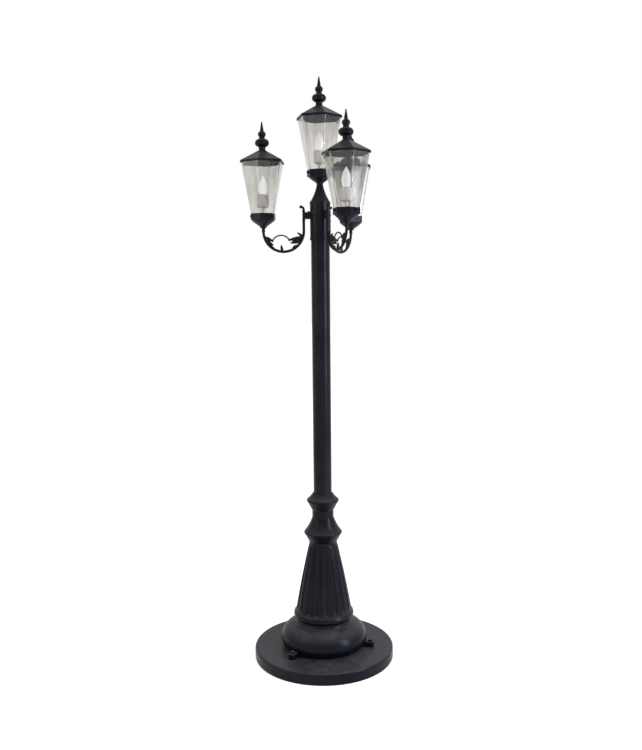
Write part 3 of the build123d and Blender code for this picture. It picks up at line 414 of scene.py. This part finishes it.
def join(pieces, name):
    choose(pieces[0])
    for piece in pieces:
        piece.select_set(True)
    bpy.ops.object.join()
    pieces[0].name = name
    pieces[0].data.name = name
    return pieces[0]


def copy_of(piece, name, matrix):
    double = piece.copy()
    double.data = piece.data.copy()
    double.name = name
    double.data.name = name
    bpy.context.scene.collection.objects.link(double)
    put(double, matrix)
    return double


def paint(piece, finish):
    piece.data.materials.clear()
    piece.data.materials.append(finish)


# ---- finishes ------------------------------------------------------------------------
def painted(name, settings, roughness, grain_scale, grain, streak):
    """Black paint: a soft mottle, fine grain, dust with painted top light, runs down the sides, worn
    edges.
    """
    finish = Finish(name, {"Specular IOR Level": 0.05, "IOR": 1.5, "Coat Roughness": 0.24})
    mottle = finish.noise(9.0, detail=4.0)
    patches = finish.noise(38.0, detail=5.0, roughness=0.65)
    runs = finish.noise(1.0, detail=4.0, vector=finish.stretched(PAINT_RUNS))
    eased = finish.eased(PAINT_EDGE)
    edges = finish.edge(eased) * finish.ramp(patches, 0.42, 0.72)
    up = finish.ramp(finish.facing_up(), 0.35, 0.95)
    # Dust on upward faces, partly painted light: it lightens the tops as if lit from above.
    dust_and_top_light = up * finish.ramp(mottle, 0.2, 0.8, 0.45, 1.0) * finish.ramp(patches, 0.25, 0.7, 0.6, 1.0)
    body = finish.blend(mottle, tone(settings.paint, 0.75), tone(settings.paint, 1.3))
    washed = finish.blend(finish.ramp(runs, 0.5, 0.8) * streak, body, tone(settings.paint, 2.0))
    # Blends in the dust colour on top, which also paints the tops lighter as if lit from above.
    dusted_and_top_lit = finish.blend(dust_and_top_light, washed, tuple(settings.dust_and_top_light))
    finish.set("Base Color", finish.blend(edges * 0.5, dusted_and_top_lit, tone(settings.dust_and_top_light, 1.35)))
    rough = roughness + finish.ramp(patches, 0.3, 0.7, -0.05, 0.06) + dust_and_top_light * 0.16 + edges * 0.1
    finish.set("Roughness", rough)
    finish.set("Coat Weight", finish.ramp(mottle, 0.3, 0.75, 0.20, 0.08))
    grainy = finish.noise(grain_scale, detail=3.0, roughness=0.6)
    finish.bumped(grainy + patches * 0.5, grain, PAINT_GRAIN, eased)
    return finish.material


def glass(name, settings, box):
    """Clear moulded glass with broad soft bands down its sides, and darker towards the roof as painted
    shade and reflection of the dark roof.
    """
    finish = Finish(name, {"Transmission Weight": 1.0, "IOR": 1.46, "Specular IOR Level": 0.18})
    low, high = box
    bands = finish.noise(1.0, detail=1.0, vector=finish.stretched(GLASS_BANDS))
    waves = finish.noise(1.0, detail=2.0, vector=finish.stretched(GLASS_WAVES))
    height = finish.add("ShaderNodeSeparateXYZ", {}, {"Vector": finish.place()}, output="Z")
    # The height ramp darkens the glass towards its top: painted shade and reflection of the dark roof
    # above.
    bands_and_roof_shade = finish.ramp(bands, 0.36, 0.62) * 0.55 + finish.ramp(height, low.z, high.z) * 0.45
    haze_and_roof_shade = bands_and_roof_shade + finish.ramp(waves, 0.3, 0.7, -0.12, 0.12)
    tint = finish.blend(haze_and_roof_shade, tone(settings.glass_tint, 1.14), tone(settings.glass_tint, 0.80))
    finish.set("Base Color", tint)
    finish.set("Roughness", finish.ramp(bands, 0.3, 0.7, 0.03, 0.07))
    finish.bumped(waves + bands, 0.12, GLASS_GRAIN)
    return finish.material


def lamp_opal():
    """Opal glass: pale, with a faint painted glow although the lamp is not lit, and it blurs what is
    behind it.
    """
    finish = Finish(
        "opal lamp",
        {
            "Transmission Weight": 0.6,
            "Specular IOR Level": 0.5,
            "Coat Roughness": 0.05,
            # The emission is a painted glow; the lamp is not lit.
            "Emission Color": (0.94, 0.97, 1.0, 1),
            "Emission Strength": 0.3,
        },
    )
    cloud = finish.noise(70.0, detail=3.0)
    finish.set("Base Color", finish.blend(cloud, (0.90, 0.91, 0.93, 1), (0.97, 0.97, 0.98, 1)))
    finish.set("Roughness", finish.ramp(cloud, 0.3, 0.7, 0.30, 0.42))
    finish.set("Coat Weight", finish.ramp(cloud, 0.3, 0.7, 0.5, 0.8))
    return finish.material


def speckled(name, colour, roughness, metallic, scale, spread, bump):
    """Plain stuff with a fine speckle: metal, rubber, nylon or glazed clay."""
    finish = Finish(name, {"Metallic": metallic})
    speckle = finish.noise(scale, detail=4.0, roughness=0.6)
    broad = finish.noise(30.0, detail=2.0)
    low = tone(colour, 1 - spread)
    high = tone(colour, 1 + spread)
    finish.set("Base Color", finish.blend(speckle * 0.6 + broad * 0.4, low, high))
    finish.set("Roughness", finish.ramp(broad, 0.3, 0.7, roughness * 0.85, roughness * 1.15))
    finish.bumped(speckle, bump, PLAIN_GRAIN, finish.eased(PLAIN_EDGE))
    return finish.material


# Paints by slot: material's name, setting of its roughness, scale and depth of its grain, and runs.
PAINTS = {
    "black_iron": ("painted iron", "iron_roughness", 420.0, 0.35, 0.5),
    "black_steel": ("painted pole", "steel_roughness", 700.0, 0.12, 1.0),
    "black_castings": ("painted casting", "casting_roughness", 520.0, 0.25, 0.3),
    "black_fasteners": ("painted fastener", "casting_roughness", 900.0, 0.1, 0.0),
}
# Plain stuffs by slot: material's name, colour, roughness, metallic, speckle's scale, spread, bump.
PLAIN_STUFFS = {
    "zinc_steel": ("zinc", (0.55, 0.56, 0.57), 0.38, 1.0, 350.0, 0.14, 0.2),
    "lamp_cap_brass": ("cap brass", (0.72, 0.60, 0.36), 0.3, 1.0, 260.0, 0.12, 0.15),
    "gasket_rubber": ("gasket rubber", (0.03, 0.03, 0.03), 0.75, 0.0, 500.0, 0.3, 0.4),
    "white_socket": ("glazed socket", (0.82, 0.81, 0.77), 0.24, 0.0, 120.0, 0.05, 0.08),
    "lead_sheath": ("lead sheath", (0.02, 0.02, 0.02), 0.55, 0.0, 400.0, 0.3, 0.2),
    "black_nylon": ("gland nylon", (0.03, 0.03, 0.03), 0.5, 0.0, 600.0, 0.25, 0.3),
}
# Materials by slot, which the first operator makes. Each lantern's glass has its own.
FINISHES = {}


def make_finishes(settings):
    finishes = {"lamp_envelope": lamp_opal()}
    for slot, (name, roughness, scale, grain, streak) in PAINTS.items():
        finishes[slot] = painted(name, settings, getattr(settings, roughness), scale, grain, streak)
    for slot, stuff in PLAIN_STUFFS.items():
        finishes[slot] = speckled(*stuff)
    return finishes


class LAMPPOST_OT_finishes(bpy.types.Operator):
    """Gives every part of the post its paint, glass, clay, brass or rubber"""

    bl_idname = "lamp_post.finishes"
    bl_label = "Finish the Post"

    def execute(self, context):
        settings = context.scene.lamp_post_finish
        FINISHES.update(make_finishes(settings))
        for part in frame["record"]["subparts"]:
            node = part["node"]
            if part["material_slot"] == "lantern_glass":
                finish = glass(node, settings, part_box(node))
            else:
                finish = FINISHES[part["material_slot"]]
            paint(frame["nodes"][node], finish)
        return {"FINISHED"}


# ---- arms ------------------------------------------------------------------------------
def bow_point(angle, radius):
    """Point of the arm's plane at an angle and a distance from the middle of its bow."""
    turn = math.radians(angle)
    return Vector((BOW_MIDDLE + radius * math.cos(turn), 0, BOW_LEVEL + radius * math.sin(turn)))


def bar_point(out, drop):
    """Point of the arm's plane by its distance from the upright bar and below the bow's middle."""
    return Vector((BAR_PLACE + out, 0, BOW_LEVEL - drop))


# Leaves of an arm: foot, tip, widest radius, and how far it curls, in degrees.
ARM_LEAVES = (
    (bow_point(-16, BOW_RADIUS), bow_point(-44, 0.062), 0.0100, 14),
    (bow_point(-29, BOW_RADIUS), bow_point(-54, 0.073), 0.0098, 12),
    (bow_point(-45, BOW_RADIUS), bow_point(-61, 0.080), 0.0072, 8),
    (bar_point(0.003, 0.024), bar_point(0.065, 0.042), 0.0104, -12),
    (bow_point(206, BOW_RADIUS), bow_point(244, 0.059), 0.0100, -12),
    (bow_point(224, BOW_RADIUS), bow_point(243, 0.076), 0.0076, -8),
    (bar_point(0.001, 0.027), bar_point(0.026, 0.001), 0.0066, 18),
)
BUD_FOOT = bow_point(-86, BOW_RADIUS)
BUD_TIP = bow_point(-78, 0.055)
BUD_RADIUS = 0.0072
# Share of a leaf's length against share of its radius.
LEAF_PROFILE = (
    (0.0, 0.42), (0.10, 0.68), (0.22, 0.90), (0.36, 1.0), (0.52, 0.97),
    (0.68, 0.80), (0.82, 0.54), (0.92, 0.30), (1.0, 0.08),
)
LEAF_GROOVE = 0.72        # a groove's distance from the leaf's middle, as a share of a ridge's
# The thin arch: its two feet and its top, and its feet's size as a share of its radius.
ARCH_LEFT = bar_point(0.060, 0.036)
ARCH_RIGHT = bar_point(0.129, 0.039)
ARCH_TOP = bar_point(0.093, 0.0165)
ARCH_FOOT = 1.6


def arm_leaf(foot, tip, radius, curl, flutes):
    """Folded leaf with flutes down its length, curled towards its tip."""
    length = (tip - foot).length
    corners = flutes * 2
    leaf = start_ring("leaf", LEAF_PROFILE[0][1] * radius, corners, (0, 0, 0))
    centre = Vector((0, 0, 0))
    for (share, width), (next_share, next_width) in zip(LEAF_PROFILE, LEAF_PROFILE[1:]):
        rise = (next_share - share) * length
        centre = grow(UP * rise, centre, next_width / width)
    step = 2 * math.pi / corners

    def in_groove(place):
        return round(math.atan2(place.y, place.x) / step) % 2 == 0

    select_verts(leaf, in_groove)
    bpy.ops.transform.resize(value=(LEAF_GROOVE, LEAF_GROOVE, 1), center_override=(0, 0, 0))
    close_ends(leaf)
    modify(leaf, "SUBSURF", {"levels": 2, "render_levels": 2})
    modify(
        leaf,
        "SIMPLE_DEFORM",
        {"deform_method": "BEND", "deform_axis": "Y", "angle": math.radians(curl)},
    )
    along = (tip - foot).normalized()
    frame_of_leaf = Matrix((
        (along.z, 0, along.x, foot.x),
        (0, 1, 0, 0),
        (-along.x, 0, along.z, foot.z),
        (0, 0, 0, 1),
    ))
    put(leaf, frame_of_leaf)
    return leaf


def arm_spine(settings):
    """Stem, bow, upright bar and outward curl, as one tapered tube."""
    radius = settings.stem_radius
    centre = Vector((ARM_REACH, 0, STEM_TOP))
    spine = start_ring("spine", radius, 24, centre)
    for drop, share in STEM_STEPS:
        centre = grow(-UP * drop, centre, share)
        radius *= share
    centre = grow(UP * (BOW_LEVEL - centre.z), centre, settings.tube_radius / radius)
    hinge = Vector((BOW_MIDDLE, 0, BOW_LEVEL))
    centre = turn_ring(hinge, math.pi, BOW_STEPS, centre)
    centre = grow(UP * (STUB_LEVEL - BOW_LEVEL), centre)
    centre = grow(UP * (BAR_TOP - STUB_LEVEL), centre, BAR_TOP_SHARE)
    hinge = Vector((BAR_PLACE + CURL_RADIUS, 0, BAR_TOP))
    centre = turn_ring(hinge, math.radians(CURL_ANGLE), CURL_STEPS, centre, CURL_TAPER)
    close_ends(spine)
    return spine, centre


def ball(place, radius):
    deselect()
    bpy.ops.mesh.primitive_uv_sphere_add(segments=32, ring_count=16, radius=radius, location=place)
    bpy.ops.object.transform_apply(location=True, rotation=True, scale=True)
    return bpy.context.object


def ring_band(place, radius, height):
    """Turned band with a rounded edge, round an upright tube."""
    foot = place - UP * height / 2
    band = start_ring("band", radius * BAND_WAIST, 32, foot)
    centre = grow(UP * height * BAND_EDGE, foot, 1 / BAND_WAIST)
    centre = grow(UP * height * (1 - 2 * BAND_EDGE), centre)
    grow(UP * height * BAND_EDGE, centre, BAND_WAIST)
    close_ends(band)
    return band


def arch_middle():
    """Middle of the circle through the arch's two feet and its top."""
    span_a = ARCH_TOP - ARCH_LEFT
    span_b = ARCH_RIGHT - ARCH_TOP
    normal_a = Vector((-span_a.z, 0, span_a.x))
    normal_b = Vector((-span_b.z, 0, span_b.x))
    gap = (ARCH_RIGHT - ARCH_LEFT) / 2
    cross = normal_b.x * normal_a.z - normal_a.x * normal_b.z
    share = (gap.z * normal_b.x - gap.x * normal_b.z) / cross
    return (ARCH_LEFT + ARCH_TOP) / 2 + normal_a * share


def arm_arch(radius):
    """Thin arch that springs from the leaves over the bow's hollow."""
    hinge = arch_middle()
    begin = ARCH_LEFT - hinge
    end = ARCH_RIGHT - hinge
    sweep = (math.atan2(begin.z, begin.x) - math.atan2(end.z, end.x)) % (2 * math.pi)
    heading = math.atan2(begin.x, begin.z)
    arch = start_ring("arch", radius, 16, ARCH_LEFT, (0, heading + math.pi / 2, 0))
    turn_ring(hinge, sweep, ARCH_STEPS, ARCH_LEFT)
    close_ends(arch)
    return [arch, ball(ARCH_LEFT, radius * ARCH_FOOT), ball(ARCH_RIGHT, radius * ARCH_FOOT)]


def foot_block(thickness, width, height, edge):
    """Block with rounded edges that reaches out from the hub's lug."""
    deselect()
    bpy.ops.mesh.primitive_cube_add(size=1, location=(LUG_REACH + thickness / 2, 0, STUB_LEVEL))
    block = bpy.context.object
    block.scale = (thickness, width, height)
    bpy.ops.object.transform_apply(location=True, rotation=True, scale=True)
    modify(block, "BEVEL", {"width": edge, "segments": 3})
    return block


def build_arm(settings):
    spine, curl_end = arm_spine(settings)
    parts = [spine, ball(curl_end, CURL_BALL)]
    parts.append(foot_block(BAR_PLACE - LUG_REACH, *STUB_SIZE))
    parts.append(foot_block(PAD_THICKNESS, *PAD_SIZE))
    parts += arm_arch(settings.arch_radius)
    parts += [arm_leaf(*leaf, settings.flutes) for leaf in ARM_LEAVES]
    parts.append(arm_leaf(BUD_FOOT, BUD_TIP, BUD_RADIUS, 0, settings.flutes))
    for out, level, share, height in ARM_BANDS:
        parts.append(ring_band(Vector((out, 0, level)), settings.tube_radius * share, height))
    arm = join(parts, "arm")
    modify(arm, "REMESH", {"mode": "VOXEL", "voxel_size": settings.grain, "use_smooth_shade": True})
    modify(arm, "SMOOTH", {"factor": 0.5, "iterations": 2})
    return arm


class LAMPPOST_OT_arms(bpy.types.Operator):
    """Models one scroll arm with its curled leaves and sets three of them on the hub"""

    bl_idname = "lamp_post.arms"
    bl_label = "Make the Arms"

    def execute(self, context):
        pattern = build_arm(context.scene.lamp_post_arm)
        for name, azimuth in ARM_AZIMUTHS.items():
            turn = Matrix.Rotation(math.radians(azimuth), 4, "Z")
            arm = copy_of(pattern, f"scroll_arm_{name}", turn)
            paint(arm, FINISHES["black_castings"])
            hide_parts(f"arm_{name}")
            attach(arm, "post")
        bpy.data.objects.remove(pattern)
        return {"FINISHED"}


# ---- stage -----------------------------------------------------------------------------
def seen_directly(shades):
    """1 for rays that show the background: camera, glossy and transmission rays."""
    paths = [
        shades.add("ShaderNodeLightPath", {}, {}, output=ray)
        for ray in ("Is Camera Ray", "Is Glossy Ray", "Is Transmission Ray")
    ]
    both = shades.math("MAXIMUM", paths[0], paths[1])
    return shades.math("MAXIMUM", both, paths[2])


def make_floor(settings):
    deselect()
    bpy.ops.mesh.primitive_plane_add(size=FLOOR_SIDE, location=(0, 0, 0))
    floor = bpy.context.object
    floor.name = "studio_floor"
    finish = Finish("studio floor", {"Roughness": 0.9, "Specular IOR Level": 0.0})
    finish.set("Base Color", tuple(settings.floor))
    plain = Shade(finish, finish.shader.outputs[0])
    glow = finish.add("ShaderNodeEmission", {}, {"Color": (1, 1, 1, 1), "Strength": FLOOR_GLOW})
    lit = finish.add("ShaderNodeAddShader", {}, {0: plain, 1: glow})
    mixed = finish.add("ShaderNodeMixShader", {}, {0: seen_directly(finish), 1: plain, 2: lit})
    finish.feed(finish.tree.nodes["Material Output"].inputs["Surface"], mixed)
    paint(floor, finish.material)


def make_world(settings):
    """Soft light that is stronger overhead, and a white background."""
    world = bpy.data.worlds.new("studio")
    bpy.context.scene.world = world
    shades = ShadeTree(world)
    background = shades.tree.nodes["Background"]
    background.inputs["Color"].default_value = (1, 1, 1, 1)
    way = shades.add("ShaderNodeTexCoord", {}, {}, output="Generated")
    height = shades.add("ShaderNodeSeparateXYZ", {}, {"Vector": way}, output="Z")
    soft = shades.ramp(height, 0.0, SKY_FULL, settings.horizon_level, settings.sky_level)
    level = shades.math("MAXIMUM", seen_directly(shades), soft)
    shades.feed(background.inputs["Strength"], level)


def add_lamp(name, power, place, size, colour):
    """Area lamp at an azimuth round the post, aimed near the middle of its height."""
    azimuth, distance, height = place
    light = bpy.data.lights.new(name, "AREA")
    light.shape = "RECTANGLE"
    light.size = size[0]
    light.size_y = size[1]
    light.energy = power
    light.color = colour
    lamp = bpy.data.objects.new(name, light)
    turn = math.radians(azimuth)
    lamp.location = (distance * math.cos(turn), distance * math.sin(turn), height)
    aim = LAMP_AIM - lamp.location
    lamp.rotation_euler = aim.to_track_quat("-Z", "Y").to_euler()
    bpy.context.scene.collection.objects.link(lamp)


def make_camera():
    """The photograph's camera, turned by its heading, its drop and its roll."""
    heading = math.radians(CAMERA_HEADING)
    drop = math.radians(CAMERA_DROP)
    roll = math.radians(CAMERA_ROLL)
    ahead = Vector((
        -math.sin(heading) * math.cos(drop), math.cos(heading) * math.cos(drop), -math.sin(drop)
    ))
    right = Vector((math.cos(heading), math.sin(heading), 0))
    above = right.cross(ahead)
    side = right * math.cos(roll) + above * math.sin(roll)
    top = above * math.cos(roll) - right * math.sin(roll)
    data = bpy.data.cameras.new("camera")
    data.sensor_width = CAMERA_SENSOR
    data.lens = CAMERA_LENS
    camera = bpy.data.objects.new("camera", data)
    turn = Matrix((side, top, -ahead)).transposed().to_4x4()
    camera.matrix_world = Matrix.Translation(CAMERA_PLACE) @ turn
    bpy.context.scene.collection.objects.link(camera)
    bpy.context.scene.camera = camera


class LAMPPOST_OT_stage(bpy.types.Operator):
    """Sets the pale floor, the soft lamps and the photograph's camera"""

    bl_idname = "lamp_post.stage"
    bl_label = "Set the Stage"

    def execute(self, context):
        settings = context.scene.lamp_post_stage
        make_floor(settings)
        make_world(settings)
        add_lamp("key", settings.key_power, *KEY_LAMP)
        add_lamp("fill", settings.fill_power, *FILL_LAMP)
        make_camera()
        context.scene.view_settings.view_transform = "Standard"
        return {"FINISHED"}


class LAMPPOST_PT_panel(bpy.types.Panel):
    """Sizes, colours and the steps that make the post"""

    bl_label = "Lamp Post"
    bl_space_type = "VIEW_3D"
    bl_region_type = "UI"
    bl_category = "Lamp Post"

    def draw(self, context):
        for group in ("lamp_post_finish", "lamp_post_arm", "lamp_post_stage"):
            settings = getattr(context.scene, group)
            box = self.layout.box()
            for prop in settings.bl_rna.properties:
                if not prop.is_readonly and prop.identifier != "name":
                    box.prop(settings, prop.identifier)
        for step in STEPS:
            self.layout.operator(step.bl_idname)


SETTINGS = (
    ("lamp_post_finish", LampPostFinishSettings),
    ("lamp_post_arm", LampPostArmSettings),
    ("lamp_post_stage", LampPostStageSettings),
)
STEPS = (LAMPPOST_OT_finishes, LAMPPOST_OT_arms, LAMPPOST_OT_stage)


def register():
    for name, group in SETTINGS:
        bpy.utils.register_class(group)
        setattr(bpy.types.Scene, name, PointerProperty(type=group))
    for kind in (*STEPS, LAMPPOST_PT_panel):
        bpy.utils.register_class(kind)


def unregister():
    for kind in (LAMPPOST_PT_panel, *reversed(STEPS)):
        bpy.utils.unregister_class(kind)
    for name, group in reversed(SETTINGS):
        delattr(bpy.types.Scene, name)
        bpy.utils.unregister_class(group)


def main():
    register()
    bpy.ops.lamp_post.finishes()
    bpy.ops.lamp_post.arms()
    bpy.ops.lamp_post.stage()
    bpy.context.view_layer.update()


if __name__ == "__main__":
    main()
